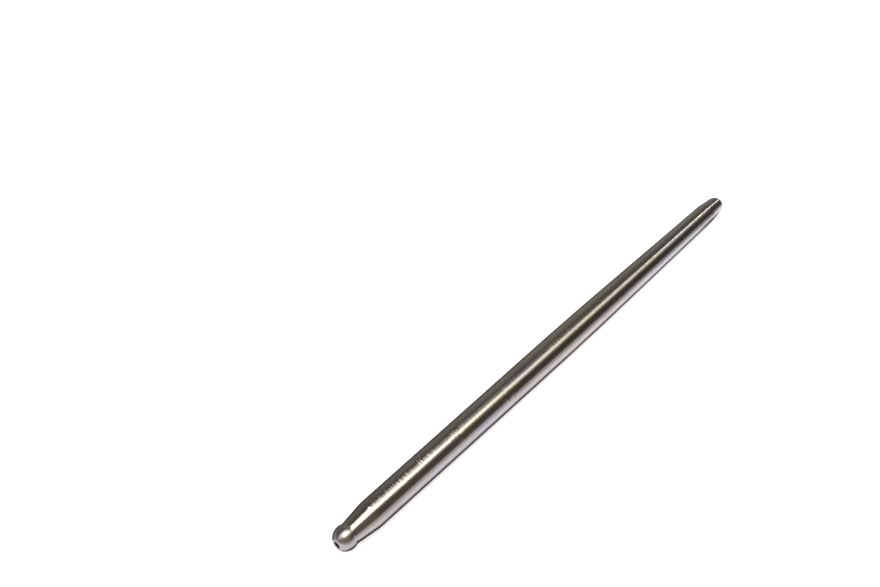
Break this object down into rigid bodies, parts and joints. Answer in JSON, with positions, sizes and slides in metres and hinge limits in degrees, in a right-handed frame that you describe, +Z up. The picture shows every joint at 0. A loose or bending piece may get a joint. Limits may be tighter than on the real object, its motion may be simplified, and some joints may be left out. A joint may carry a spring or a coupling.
{
  "type": "engine pushrod",
  "caption": "Hollow steel pushrod, thickest in the middle and tapered to drilled ball ends, which carries lift and oil from a lifter to a rocker arm in an engine's valve train.",
  "frame": {"origin": "centre of the ball at the lifter end, on the rod's axis", "axes": "+X along the rod from the lifter end to the rocker end, +Z up with the rod lying level"},
  "size_m": [0.2497, 0.011, 0.0112],
  "materials": {
    "ground_steel": "satin, ground round the rod, with a faint straw heat tint"
  },
  "bodies": {
    "root": {"pushrod": "ground_steel"}
  },
  "joints": []
}
